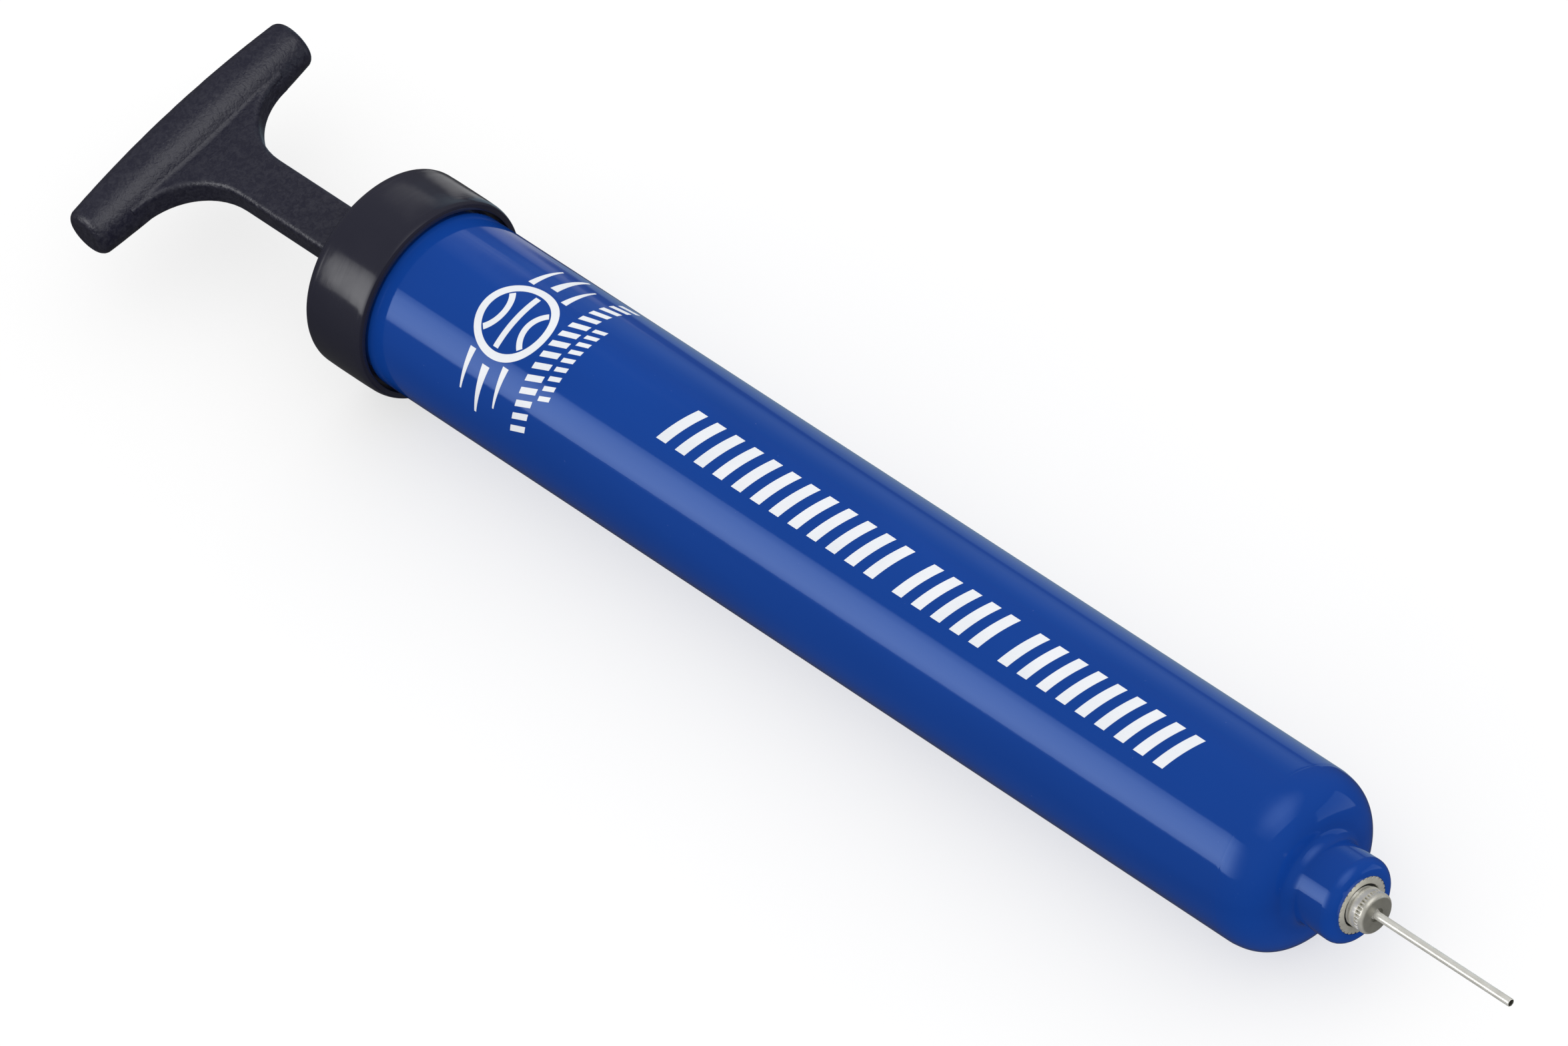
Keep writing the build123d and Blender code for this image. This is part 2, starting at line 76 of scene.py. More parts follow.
COLLAR_BACK = -246.1
COLLAR_MIDDLE = -238.7
COLLAR_RADIUS = 19.7
COLLAR_CROWN = 0.05             # how much lower the crowned side is at its two ends
COLLAR_MOUTH_RADIUS = 18.15
COLLAR_BORE_RADIUS = 17.18
SNAP_POCKET_RADIUS = 17.55
GUIDE_RADIUS = 9
GUIDE_END = -236
SLOT_HALF_WIDTH = 5.15
SLOT_HALF_HEIGHT = 2.95
SLOT_CORNER = 1.2

INSERT_LENGTH = 7.6
INSERT_RADIUS = 5.6
INSERT_SEAT_RADIUS = 5.62
INSERT_AIR_RADIUS = 1.1
INSERT_TEETH = 32
SOCKET_RADIUS = 3.9
SOCKET_MOUTH_RADIUS = 4.15
SOCKET_MOUTH_DEPTH = 0.9

HUB_BACK = -6.1
HUB_FRONT = 3.7
HUB_RADIUS = 3.9
HUB_THREAD_RADIUS = 3.85
HUB_GROOVE_RADIUS = 3.42
HUB_BORE_RADIUS = 1.02
HUB_RECESS_RADIUS = 1.35
HUB_RECESS_FLOOR = 3.2
KNURL_START = 1.85
KNURL_TEETH = 34
KNURL_DEPTH = 0.55
TUBE_RADIUS = 0.75
TUBE_ROOT_RADIUS = 1.0
TUBE_BORE_RADIUS = 0.48
TUBE_MOUTH_RADIUS = 0.61
NEEDLE_TIP = 35.5


def on_pump(station, around, radius):
    """The place of a point given by its station, its angle round the pump and its radius."""
    turn = math.radians(around)
    return Vector((
        NOZZLE_X + station * MM,
        radius * MM * math.sin(turn),
        AXIS_Z + radius * MM * math.cos(turn),
    ))


# ---------------------------------------------------------------- materials


class Shader:
    """A small builder for one procedural material, with object coordinates in millimetres."""

    def __init__(self, name):
        self.material = bpy.data.materials.new(name)
        self.material.use_nodes = True
        self.tree = self.material.node_tree
        self.tree.nodes.clear()
        self.output = self.add("ShaderNodeOutputMaterial")
        self.surface = self.add("ShaderNodeBsdfPrincipled")
        self.link(self.surface.outputs[0], self.output.inputs[0])
        self.object_space = self.add("ShaderNodeTexCoord").outputs["Object"]

    def add(self, kind, **settings):
        node = self.tree.nodes.new(kind)
        for key, value in settings.items():
            setattr(node, key, value)
        return node

    def link(self, source, target):
        self.tree.links.new(source, target)

    def put(self, socket, value):
        """Sets a socket from a number or colour, or links another socket into it."""
        if isinstance(value, bpy.types.NodeSocket):
            self.link(value, socket)
        else:
            socket.default_value = value

    def stretch(self, x, y, z):
        """Object coordinates times a scale for each direction, so that 1 is one cycle a millimetre."""
        node = self.add("ShaderNodeVectorMath", operation="MULTIPLY")
        self.link(self.object_space, node.inputs[0])
        node.inputs[1].default_value = (x / MM, y / MM, z / MM)
        return node.outputs[0]

    def noise(self, place, scale=1.0, detail=3.0, rough=0.5, distort=0.0):
        node = self.add("ShaderNodeTexNoise")
        self.link(place, node.inputs["Vector"])
        node.inputs["Scale"].default_value = scale
        node.inputs["Detail"].default_value = detail
        node.inputs["Roughness"].default_value = rough
        node.inputs["Distortion"].default_value = distort
        return node.outputs["Fac"]

    def math(self, operation, *values, clamp=False):
        node = self.add("ShaderNodeMath", operation=operation, use_clamp=clamp)
        for socket, value in zip(node.inputs, values):
            self.put(socket, value)
        return node.outputs[0]

    def span(self, value, low, high, to_low=0.0, to_high=1.0):
        node = self.add("ShaderNodeMapRange")
        self.link(value, node.inputs["Value"])
        for socket, number in zip(node.inputs[1:5], (low, high, to_low, to_high)):
            self.put(socket, number)
        return node.outputs["Result"]

    def blend(self, share, first, second):
        node = self.add("ShaderNodeMix", data_type="RGBA")
        self.put(node.inputs["Factor"], share)
        self.put(node.inputs[6], first)
        self.put(node.inputs[7], second)
        return node.outputs[2]

    def bump(self, height, depth, strength=1.0, under=None):
        """A bump whose height runs from 0 to 1 over a depth in millimetres."""
        node = self.add("ShaderNodeBump")
        node.inputs["Strength"].default_value = strength
        node.inputs["Distance"].default_value = depth * MM
        self.link(height, node.inputs["Height"])
        if under is not None:
            self.link(under, node.inputs["Normal"])
        return node.outputs[0]

    def finish(self, **inputs):
        for key, value in inputs.items():
            self.put(self.surface.inputs[key.replace("_", " ")], value)
        return self.material


def rgb(red, green, blue):
    return (red, green, blue, 1.0)


def barrel_plastic():
    """Glossy blue moulded plastic: faint flow clouds, fine lines along the barrel and slight waviness."""
    s = Shader("barrel_blue")
    flow = s.noise(s.stretch(0.012, 0.05, 0.05), detail=2.0, distort=0.6)
    color = s.blend(s.span(flow, 0.3, 0.7), rgb(0.0050, 0.0462, 0.273), rgb(0.0062, 0.0545, 0.316))
    drawn = s.noise(s.stretch(0.015, 2.6, 2.6), detail=4.0, rough=0.6)
    dust = s.noise(s.stretch(1.4, 1.4, 1.4), detail=1.0)
    color = s.blend(s.span(dust, 0.80, 0.84, 0.0, 0.35), color, rgb(0.09, 0.14, 0.42))
    rough = s.math("ADD", s.span(drawn, 0.35, 0.7, 0.05, 0.10), s.span(flow, 0.3, 0.7, 0.0, 0.02))
    wave = s.bump(s.noise(s.stretch(0.22, 0.22, 0.22), detail=2.0), 0.006)
    lines = s.bump(drawn, 0.0012, under=wave)
    tint = rgb(0.40, 0.60, 1.0)
    return s.finish(
        Base_Color=color, Roughness=rough, Normal=lines, Specular_IOR_Level=0.75, Specular_Tint=tint
    )


def collar_plastic():
    """Glossy black moulded plastic with hairline handling marks round it."""
    s = Shader("collar_black")
    cloud = s.noise(s.stretch(0.06, 0.06, 0.06), detail=3.0)
    color = s.blend(s.span(cloud, 0.3, 0.7), rgb(0.0160, 0.0160, 0.0285), rgb(0.0195, 0.0195, 0.0320))
    hair = s.noise(s.stretch(3.2, 0.12, 0.12), detail=4.0, rough=0.65)
    rough = s.span(hair, 0.35, 0.75, 0.10, 0.17)
    wave = s.bump(s.noise(s.stretch(0.16, 0.16, 0.16), detail=2.0, distort=0.5), 0.030)
    hairs = s.bump(hair, 0.0015, under=wave)
    return s.finish(Base_Color=color, Roughness=rough, Normal=hairs, Specular_IOR_Level=0.62)


def handle_plastic():
    """Charcoal moulded plastic with a soft leathery spark-eroded grain."""
    s = Shader("handle_charcoal")
    place = s.stretch(1.0, 1.0, 1.0)
    cloud = s.noise(place, scale=0.10, detail=3.0)
    fine = s.noise(place, scale=2.4, detail=3.0, rough=0.55)
    leather = s.noise(place, scale=1.0, detail=2.0, rough=0.5, distort=0.8)
    grain = s.math("ADD", s.math("MULTIPLY", leather, 0.65), s.math("MULTIPLY", fine, 0.35))
    color = s.blend(s.span(cloud, 0.3, 0.7), rgb(0.0045, 0.0045, 0.0165), rgb(0.0062, 0.0062, 0.0188))
    color = s.blend(s.span(grain, 0.42, 0.62, 0.0, 0.9), color, rgb(0.0160, 0.0160, 0.0310))
    rough = s.span(grain, 0.35, 0.65, 0.31, 0.42)
    return s.finish(Base_Color=color, Roughness=rough, Normal=s.bump(grain, 0.20), Specular_IOR_Level=1.0)


def plated_metal(name, base, shade, low, high, lines=(2.4, 0.2, 0.2), gloss=0.6, painted_shade=None):
    """Turned and plated metal: fine tool lines, a little cloudiness and small dull spots.

    Painted shade darkens the metal in grooves and bores, inside a radius: (radius where it begins, radius
    where it is full, its share).
    """
    s = Shader(name)
    cloud = s.noise(s.stretch(0.35, 0.35, 0.35), detail=4.0, rough=0.6)
    tooling = s.noise(s.stretch(*lines), detail=5.0, rough=0.7)
    spots = s.noise(s.stretch(1.6, 1.6, 1.6), detail=2.0)
    color = s.blend(s.span(cloud, 0.35, 0.75), base, shade)
    color = s.blend(s.span(spots, 0.66, 0.76, 0.0, 0.5), color, shade)
    # Painted shade: inside the given radius the colour is blended towards near-black, standing in for the
    # shade in grooves and bores.
    if painted_shade:
        begins, full, share = painted_shade
        from_axis = s.add("ShaderNodeVectorMath", operation="MULTIPLY_ADD")
        s.link(s.object_space, from_axis.inputs[0])
        from_axis.inputs[1].default_value = (0, 1 / MM, 1 / MM)
        from_axis.inputs[2].default_value = (0, 0, -AXIS_Z / MM)
        radius = s.add("ShaderNodeVectorMath", operation="LENGTH")
        s.link(from_axis.outputs[0], radius.inputs[0])
        dark = s.span(radius.outputs["Value"], full, begins, share, 0.0)
        color = s.blend(dark, color, rgb(0.10, 0.10, 0.08))
    rough = s.math("ADD", s.span(tooling, 0.3, 0.7, low, high), s.span(spots, 0.6, 0.8, 0.0, 0.12))
    return s.finish(Base_Color=color, Roughness=rough, Metallic=gloss, Normal=s.bump(tooling, 0.004))


def rubber(name, base, dusty):
    """Matt moulded rubber with a dusty bloom."""
    s = Shader(name)
    bloom = s.noise(s.stretch(0.5, 0.5, 0.5), detail=5.0, rough=0.65)
    color = s.blend(s.span(bloom, 0.4, 0.8, 0.0, 0.7), base, dusty)
    rough = s.span(bloom, 0.3, 0.8, 0.55, 0.8)
    return s.finish(Base_Color=color, Roughness=rough, Normal=s.bump(bloom, 0.02))


def natural_plastic():
    """Off-white moulded plastic, slightly translucent looking, for the piston."""
    s = Shader("piston_white")
    cloud = s.noise(s.stretch(0.12, 0.12, 0.12), detail=3.0)
    color = s.blend(s.span(cloud, 0.3, 0.7), rgb(0.66, 0.65, 0.61), rgb(0.76, 0.75, 0.72))
    rough = s.span(cloud, 0.3, 0.7, 0.34, 0.46)
    return s.finish(Base_Color=color, Roughness=rough, Normal=s.bump(cloud, 0.03))


def print_ink():
    """White screen-printed ink: a slightly uneven satin film with a few pinholes."""
    s = Shader("print_white")
    mesh_marks = s.noise(s.stretch(2.2, 2.2, 2.2), detail=3.0)
    cloud = s.noise(s.stretch(0.15, 0.15, 0.15), detail=2.0)
    color = s.blend(s.span(cloud, 0.3, 0.7), rgb(0.80, 0.83, 0.88), rgb(0.86, 0.88, 0.92))
    color = s.blend(s.span(mesh_marks, 0.74, 0.80, 0.0, 0.5), color, rgb(0.30, 0.38, 0.62))
    rough = s.span(mesh_marks, 0.3, 0.7, 0.26, 0.38)
    return s.finish(Base_Color=color, Roughness=rough, Normal=s.bump(mesh_marks, 0.004))


def floor_paper():
    """Pale seamless paper, barely mottled."""
    s = Shader("floor_paper")
    cloud = s.noise(s.stretch(0.004, 0.004, 0.004), detail=3.0)
    color = s.blend(s.span(cloud, 0.3, 0.7), rgb(0.90, 0.90, 0.90), rgb(0.92, 0.92, 0.92))
    return s.finish(
        Base_Color=s.blend(0.58, color, rgb(0, 0, 0)), Roughness=0.8, Specular_IOR_Level=0.0,
        Emission_Color=color, Emission_Strength=0.68,
    )


# Painted shade on the nickel: the hub's thread roots, knurl grooves, recess and front face inside 3.64 mm
# radius, and the insert's air hole.
nickel = plated_metal(
    "nickel_plate", rgb(0.86, 0.84, 0.76), rgb(0.62, 0.60, 0.52), 0.24, 0.38,
    painted_shade=(3.64, 3.3, 0.62),
)
# Painted shade on the needle: its bore and flared mouth, inside 0.66 mm radius, are painted fully dark.
needle_steel = plated_metal(
    "needle_steel", rgb(0.93, 0.92, 0.86), rgb(0.76, 0.75, 0.69), 0.16, 0.28,
    lines=(0.1, 6.0, 6.0), gloss=0.45, painted_shade=(0.66, 0.58, 1.0),
)
steel = plated_metal("steel", rgb(0.62, 0.62, 0.62), rgb(0.48, 0.48, 0.49), 0.16, 0.30)
black_rubber = rubber("black_rubber", rgb(0.012, 0.012, 0.012), rgb(0.040, 0.040, 0.040))
white_ink = print_ink()

SLOT_MATERIALS = {
    "nickel_plate": nickel,
    "needle_steel": needle_steel,
    "steel": steel,
    "black_rubber": black_rubber,
    "print_white": white_ink,
    "barrel_blue": barrel_plastic(),
    "collar_black": collar_plastic(),
    "handle_charcoal": handle_plastic(),
    "piston_white": natural_plastic(),
}
NODE_MATERIALS = {
    "barrel": SLOT_MATERIALS["barrel_blue"],
    "end_collar": SLOT_MATERIALS["collar_black"],
    "plunger": SLOT_MATERIALS["handle_charcoal"],
    "piston": SLOT_MATERIALS["piston_white"],
    "piston_screw": steel,
    "piston_o_ring": black_rubber,
    "stop_bumper": black_rubber,
    "valve_seat": black_rubber,
    "valve_ball": steel,
    "valve_spring": steel,
    "outlet_insert": nickel,
    "needle_seal_ring": black_rubber,
    "needle_hub": nickel,
    "needle_tube": needle_steel,
}
for node_name, material in NODE_MATERIALS.items():
    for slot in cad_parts[node_name].material_slots:
        slot.material = material


# ---------------------------------------------------------------- turned pieces


def rounded(corners, steps=8):
    """An outline whose corners, each (station, radius, rounding), are rounded with arcs."""
    points = []
    for index, (station, radius, rounding) in enumerate(corners):
        here = Vector((station, radius))
        if not rounding:
            points.append((station, radius))
            continue
        before = (Vector(corners[index - 1][:2]) - here).normalized()
        after = (Vector(corners[(index + 1) % len(corners)][:2]) - here).normalized()
        half = before.angle(after) / 2
        reach = rounding / math.tan(half)
        centre = here + (before + after).normalized() * rounding / math.sin(half)
        start = here + before * reach - centre
        turn = start.angle_signed(here + after * reach - centre)
        for step in range(steps + 1):
            angle = turn * step / steps
            spoke = Matrix.Rotation(-angle, 2) @ start
            points.append(tuple(centre + spoke))
    return points


def turned(name, outline, steps, body, slot, node, shape=None):
    """A ring-shaped solid turned about the pump's axis from a closed outline of (station, radius) points.

    Shape, if given, takes a point's station, radius and angle in radians and returns its true radius, as
    for knurls and threads.
    """
    points = []
    for station, radius in outline:
        for step in range(steps):
            angle = 2 * math.pi * step / steps
            true_radius = shape(station, radius, angle) if shape else radius
            points.append(on_pump(station, math.degrees(angle), true_radius))
    faces = []
    for ring in range(len(outline)):
        first, second = ring * steps, (ring + 1) % len(outline) * steps
        for step in range(steps):
            after = (step + 1) % steps
            faces.append((first + step, first + after, second + after, second + step))
    mesh = bpy.data.meshes.new(name)
    mesh.from_pydata(points, [], faces)
    make_piece(name, mesh, body, slot, node)


def make_piece(name, mesh, body, slot, node=None):
    """Finishes a mesh as a piece of the object that rides on a body and may stand for a CAD node."""
    tidy = bmesh.new()
    tidy.from_mesh(mesh)
    bmesh.ops.recalc_face_normals(tidy, faces=tidy.faces)
    tidy.to_mesh(mesh)
    tidy.free()
    mesh.shade_smooth()
    mesh.set_sharp_from_angle(angle=math.radians(30))
    mesh.materials.append(SLOT_MATERIALS[slot])
    piece = bpy.data.objects.new(name, mesh)
    bpy.context.scene.collection.objects.link(piece)
    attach(piece, body)
    if node:
        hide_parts(node)


def shoulder_point(turn):
    """A point of the barrel's superelliptic shoulder, from the cylinder (0) to the flat nose (pi / 2)."""
    reach = math.sin(turn) ** (2 / SHOULDER_POWER)
    kept = math.cos(turn) ** (2 / SHOULDER_POWER)
    return (SHOULDER_START + SHOULDER_LENGTH * reach, BARREL_RADIUS - SHOULDER_DEPTH * (1 - kept))


def make_barrel():
    """The barrel with its shoulder, nozzle neck, mould line, bore and snap bead, turned finely."""
    bead = [
        (BARREL_END, BORE_RADIUS), (BARREL_END, COLLAR_SEAT_RADIUS), (-239, COLLAR_SEAT_RADIUS),
        (-238.4, BARREL_RADIUS), (-237.6, BARREL_RADIUS), (-237, COLLAR_SEAT_RADIUS),
        (COLLAR_SEAT_START, COLLAR_SEAT_RADIUS),
    ]
    length = SHOULDER_START - COLLAR_SEAT_START
    side = [(COLLAR_SEAT_START + length * step / 60, BARREL_RADIUS) for step in range(60)]
    mould_line = [
        (-19.0, BARREL_RADIUS), (-18.42, 17.496), (-18.36, 17.488), (-18.24, 17.470), (-18.12, 17.482),
        (-17.98, 17.480),
    ]
    nose_share = (BARREL_RADIUS - NECK_FOOT_RADIUS) / SHOULDER_DEPTH
    neck_turn = math.acos((1 - nose_share) ** (SHOULDER_POWER / 2))
    foot = shoulder_point(neck_turn)
    shoulder = [shoulder_point(neck_turn * (step / 40) ** 0.8) for step in range(41)]
    shoulder = [point for point in shoulder if point[1] > NECK_FOOT_RADIUS + NECK_FILLET + 0.45]
    neck = rounded([
        (*shoulder[-1], 0), (foot[0], foot[1] + 0.05, NECK_FILLET), (-NECK_ROUNDING, NECK_RADIUS, 0.5),
        (0.0, NECK_RADIUS, NECK_ROUNDING), (0.0, INSERT_SEAT_RADIUS, 0),
    ])
    inside = [
        (-INSERT_LENGTH, INSERT_SEAT_RADIUS), (-INSERT_LENGTH, VALVE_CHAMBER_RADIUS),
        (VALVE_CHAMBER_FLOOR, VALVE_CHAMBER_RADIUS), (VALVE_CHAMBER_FLOOR, VALVE_THROAT_RADIUS),
        (VALVE_BOSS_END, VALVE_THROAT_RADIUS), (VALVE_BOSS_END, VALVE_BOSS_RADIUS),
        (BORE_FLOOR, VALVE_BOSS_RADIUS), (BORE_FLOOR, BORE_RADIUS - BORE_ROUNDING),
    ]
    for step in range(1, 13):
        turn = math.radians(90 * step / 12)
        inside.append((
            BORE_FLOOR - BORE_ROUNDING * (1 - math.cos(turn)),
            BORE_RADIUS - BORE_ROUNDING * (1 - math.sin(turn)),
        ))
    past_line = [point for point in shoulder if point[0] > MOULD_LINE_END]
    outline = bead + side + mould_line + past_line + neck[1:] + inside
    turned("barrel_shell", outline, 192, "barrel", "barrel_blue", "barrel")


def slot_radius(around):
    """The distance from the axis to the wall of the collar's rounded slot, for an angle in radians."""
    y, z = abs(math.sin(around)), abs(math.cos(around))
    centre_y, centre_z = SLOT_HALF_WIDTH - SLOT_CORNER, SLOT_HALF_HEIGHT - SLOT_CORNER
    reach = min(SLOT_HALF_WIDTH / max(y, 1e-9), SLOT_HALF_HEIGHT / max(z, 1e-9))
    if reach * y > centre_y and reach * z > centre_z:
        along = y * centre_y + z * centre_z
        reach = along + math.sqrt(along**2 - centre_y**2 - centre_z**2 + SLOT_CORNER**2)
    return reach


def collar_shape(station, radius, around):
    """Turns radii under 1 into the slot's wall, that much further out."""
    return slot_radius(around) + radius if radius < 1 else radius


def make_collar():
    """The end collar, slightly crowned, with its rounded lips, mouth, snap pocket, guide and shaft slot."""
    back_radius = COLLAR_RADIUS - COLLAR_CROWN
    outer = rounded([(COLLAR_BACK, 0.5, 0), (COLLAR_BACK, back_radius, 1.6), (-244.2, back_radius, 0)])[:-1]
    for step in range(21):
        place = step / 10 - 1
        outer.append((COLLAR_MIDDLE + 5.4 * place, COLLAR_RADIUS - COLLAR_CROWN * place**4))
    # The front lip is a quarter of an ellipse, 2 mm along the axis and 0.75 mm across it.
    for step in range(1, 11):
        turn = math.radians(9 * step)
        outer.append((-233.2 + 2.0 * math.sin(turn), 18.9 + 0.75 * math.cos(turn)))
    outer += [(-231.2, 18.3), (-231.24, 18.19), (-231.35, COLLAR_MOUTH_RADIUS), (-232.8, COLLAR_MOUTH_RADIUS)]
    inner = [
        (-232.8, COLLAR_BORE_RADIUS), (-236.95, COLLAR_BORE_RADIUS), (-237.55, SNAP_POCKET_RADIUS),
        (-238.45, SNAP_POCKET_RADIUS), (-239.05, COLLAR_BORE_RADIUS), (BARREL_END, COLLAR_BORE_RADIUS),
    ]
    guide = [(BARREL_END, GUIDE_RADIUS), (GUIDE_END, GUIDE_RADIUS)]
    slot = [
        (GUIDE_END, 0.3), (-236.15, 0.09), (-236.3, 0.01), (-245.8, 0.01), (-245.95, 0.05), (-246.06, 0.2),
    ]
    outline = outer + inner + guide + slot
    turned("collar_shell", outline, 256, "barrel", "collar_black", "end_collar", collar_shape)


def insert_shape(station, radius, around):
    """Rounded notches round the insert's outside, and its female thread."""
    if radius > 5:
        return radius - 0.36 * max(0.0, math.cos(INSERT_TEETH * around)) ** 1.4
    if radius == SOCKET_RADIUS:
        turns = station / THREAD_PITCH + around / (2 * math.pi)
        return radius + 0.24 * (1 - abs(2 * (turns % 1) - 1))
    return radius


def make_insert():
    """The knurled bush in the nozzle, with its thread."""
    front = [
        (-INSERT_LENGTH, INSERT_RADIUS), (-0.08, INSERT_RADIUS), (0.0, INSERT_RADIUS - 0.07), (0.0, 4.25),
        (-0.1, SOCKET_MOUTH_RADIUS), (-SOCKET_MOUTH_DEPTH, SOCKET_MOUTH_RADIUS),
    ]
    thread = [(-SOCKET_MOUTH_DEPTH - 0.1 * step, SOCKET_RADIUS) for step in range(55)]
    outline = front + thread + [(-6.3, INSERT_AIR_RADIUS), (-INSERT_LENGTH, INSERT_AIR_RADIUS)]
    turned("insert_bush", outline, 384, "barrel", "nickel_plate", "outlet_insert", insert_shape)


def hub_shape(station, radius, around):
    """The hub's male thread, which runs out at its front, and its knurl, which fades forwards."""
    if radius == HUB_THREAD_RADIUS:
        turns = station / THREAD_PITCH + around / (2 * math.pi) + 0.35
        left = min(1.0, max(0.0, (0.52 - station) / 0.35))
        return radius - 0.40 * left * (1 - abs(2 * (turns % 1) - 1)) ** 0.8
    if radius == HUB_RADIUS and station > KNURL_START:
        depth = KNURL_DEPTH * max(0.0, 1 - (station - KNURL_START)) ** 0.6
        return radius - depth * (0.5 + 0.5 * math.cos(KNURL_TEETH * around)) ** 1.3
    return radius


def make_hub():
    """The needle's threaded and knurled hub."""
    back = [(HUB_BACK, HUB_BORE_RADIUS), (HUB_BACK, 3.35), (-5.8, 3.62)]
    thread = [(-5.75 + 0.06 * step, HUB_THREAD_RADIUS) for step in range(81)]
    groove = [(-0.9, HUB_GROOVE_RADIUS), (-0.24, HUB_GROOVE_RADIUS)]
    front_thread = [(-0.22 + 0.05 * step, HUB_THREAD_RADIUS) for step in range(17)]
    body = [(0.62, 3.86), (0.68, HUB_RADIUS), (1.83, HUB_RADIUS), (1.87, HUB_RADIUS)]
    knurl = [(1.95 + 0.12 * step, HUB_RADIUS) for step in range(8)]
    nose = rounded([
        (2.85, HUB_RADIUS, 0), (HUB_FRONT, HUB_RADIUS, 0.8), (HUB_FRONT, HUB_RECESS_RADIUS, 0.12),
        (HUB_RECESS_FLOOR, HUB_RECESS_RADIUS, 0),
    ])
    outline = back + thread + groove + front_thread + body + knurl + nose[1:]
    outline.append((HUB_RECESS_FLOOR, HUB_BORE_RADIUS))
    turned("needle_hub_turned", outline, 408, "needle", "nickel_plate", "needle_hub", hub_shape)


def make_tube():
    """The needle's open tube, swaged out inside the hub, with a rounded tip and a slightly flared mouth."""
    root = [
        (HUB_BACK, TUBE_ROOT_RADIUS), (3.12, TUBE_ROOT_RADIUS), (HUB_RECESS_FLOOR, 0.94),
        (HUB_RECESS_FLOOR, 0.78), (3.3, TUBE_RADIUS), (16.0, TUBE_RADIUS),
    ]
    tip = rounded([
        (30.0, TUBE_RADIUS, 0), (NEEDLE_TIP, TUBE_RADIUS, 0.11), (NEEDLE_TIP, TUBE_MOUTH_RADIUS, 0.02),
        (34.9, TUBE_BORE_RADIUS, 0.2), (30.0, TUBE_BORE_RADIUS, 0),
    ], 6)
    outline = root + tip + [(HUB_BACK, TUBE_BORE_RADIUS)]
    turned("needle_tube_drawn", outline, 64, "needle", "needle_steel", "needle_tube")


make_barrel()
make_collar()
make_insert()
make_hub()
make_tube()

# ---------------------------------------------------------------- printed marks

INK_TOP = BARREL_RADIUS + 0.03
INK_FOOT = BARREL_RADIUS - 0.02


def print_film(name, strips):
    """A closed ink film for each strip, wrapped on the barrel.

    A strip is (rows, closed): rows of (station, arc) points, where arc is millimetres round the barrel from
    the top, and closed says that the last row joins the first.
    """
    points = []
    faces = []
    for rows, closed in strips:
        base = len(points)
        wide = len(rows[0])
        deep = len(rows)
        for radius in (INK_TOP, INK_FOOT):
            for row in rows:
                for station, arc in row:
                    points.append(on_pump(station, math.degrees(arc / BARREL_RADIUS), radius))
        foot = deep * wide

        def at(row, column, level=0):
            return base + level * foot + (row % deep) * wide + column

        for row in range(deep if closed else deep - 1):
            for column in range(wide - 1):
                for level in (0, 1):
                    faces.append((
                        at(row, column, level), at(row, column + 1, level),
                        at(row + 1, column + 1, level), at(row + 1, column, level),
                    ))
            for column in (0, wide - 1):
                faces.append((
                    at(row, column), at(row + 1, column),
                    at(row + 1, column, 1), at(row, column, 1),
                ))
        for row in () if closed else (0, deep - 1):
            for column in range(wide - 1):
                faces.append((
                    at(row, column), at(row, column + 1),
                    at(row, column + 1, 1), at(row, column, 1),
                ))
    mesh = bpy.data.meshes.new(name)
    mesh.from_pydata(points, [], faces)
    make_piece(name, mesh, "barrel", "print_white")


def slanted_bar(station, width, arc_start, arc_end, slant):
    """A bar across the barrel's side: its centre's station leans by slant millimetres from start to end."""
    steps = max(2, math.ceil(abs(arc_end - arc_start) / 0.7))
    rows = []
    for step in range(steps + 1):
        share = step / steps
        centre = station + slant * (share - 0.5)
        arc = arc_start + (arc_end - arc_start) * share
        rows.append([(centre - width / 2 + width * column / 2, arc) for column in range(3)])
    return rows, False


def bent_line(middle, curve, starts, ends, widths, steps=40):
    """A line whose centre is curve(turn), a (station, arc) offset from the middle, between two turns."""
    rows = []
    for step in range(steps + 1):
        share = step / steps
        turn = starts + (ends - starts) * share
        here = Vector(curve(turn))
        ahead = Vector(curve(turn + 0.001)) - here
        side = Vector((-ahead.y, ahead.x)).normalized()
        width = widths(share)
        rows.append([tuple(Vector(middle) + here + side * width * (column / 4 - 0.5)) for column in range(5)])
    return rows


def make_ball_mark():
    """A ball pictogram with a streak of three lines to each side."""
    middle = (-203.2, -2.2)
    radius, ring_width, seam_width = 7.3, 1.5, 1.2
    ring = bent_line(
        middle, lambda turn: (radius * math.cos(turn), radius * math.sin(turn)),
        0, 2 * math.pi, lambda share: ring_width, 96,
    )
    seam = bent_line(middle, lambda turn: (0.0, turn), -5.9, 5.9, lambda share: seam_width, 16)
    reach = math.radians(46)
    left, right = (
        bent_line(
            middle, lambda turn: (side * (8.6 - 5.6 * math.cos(turn)), 5.6 * math.sin(turn)),
            -reach, reach, lambda share: seam_width,
        )
        for side in (-1, 1)
    )
    mark = [(ring[:-1], True), (left, False), (seam, False), (right, False)]
    streaks = ((-4.2, 8.0, 8.0, 1.4), (0.0, 9.6, 9.2, 1.8), (4.2, 8.0, 8.0, 1.4))
    for side in (-1, 1):
        for offset, start, length, width in streaks:
            streak = bent_line(
                (middle[0] + offset, middle[1]), lambda turn: (0.0, side * turn), start, start + length,
                lambda share: width * (1 - 0.75 * share), 20,
            )
            mark.append((streak, False))
    print_film("print_ball_mark", mark)


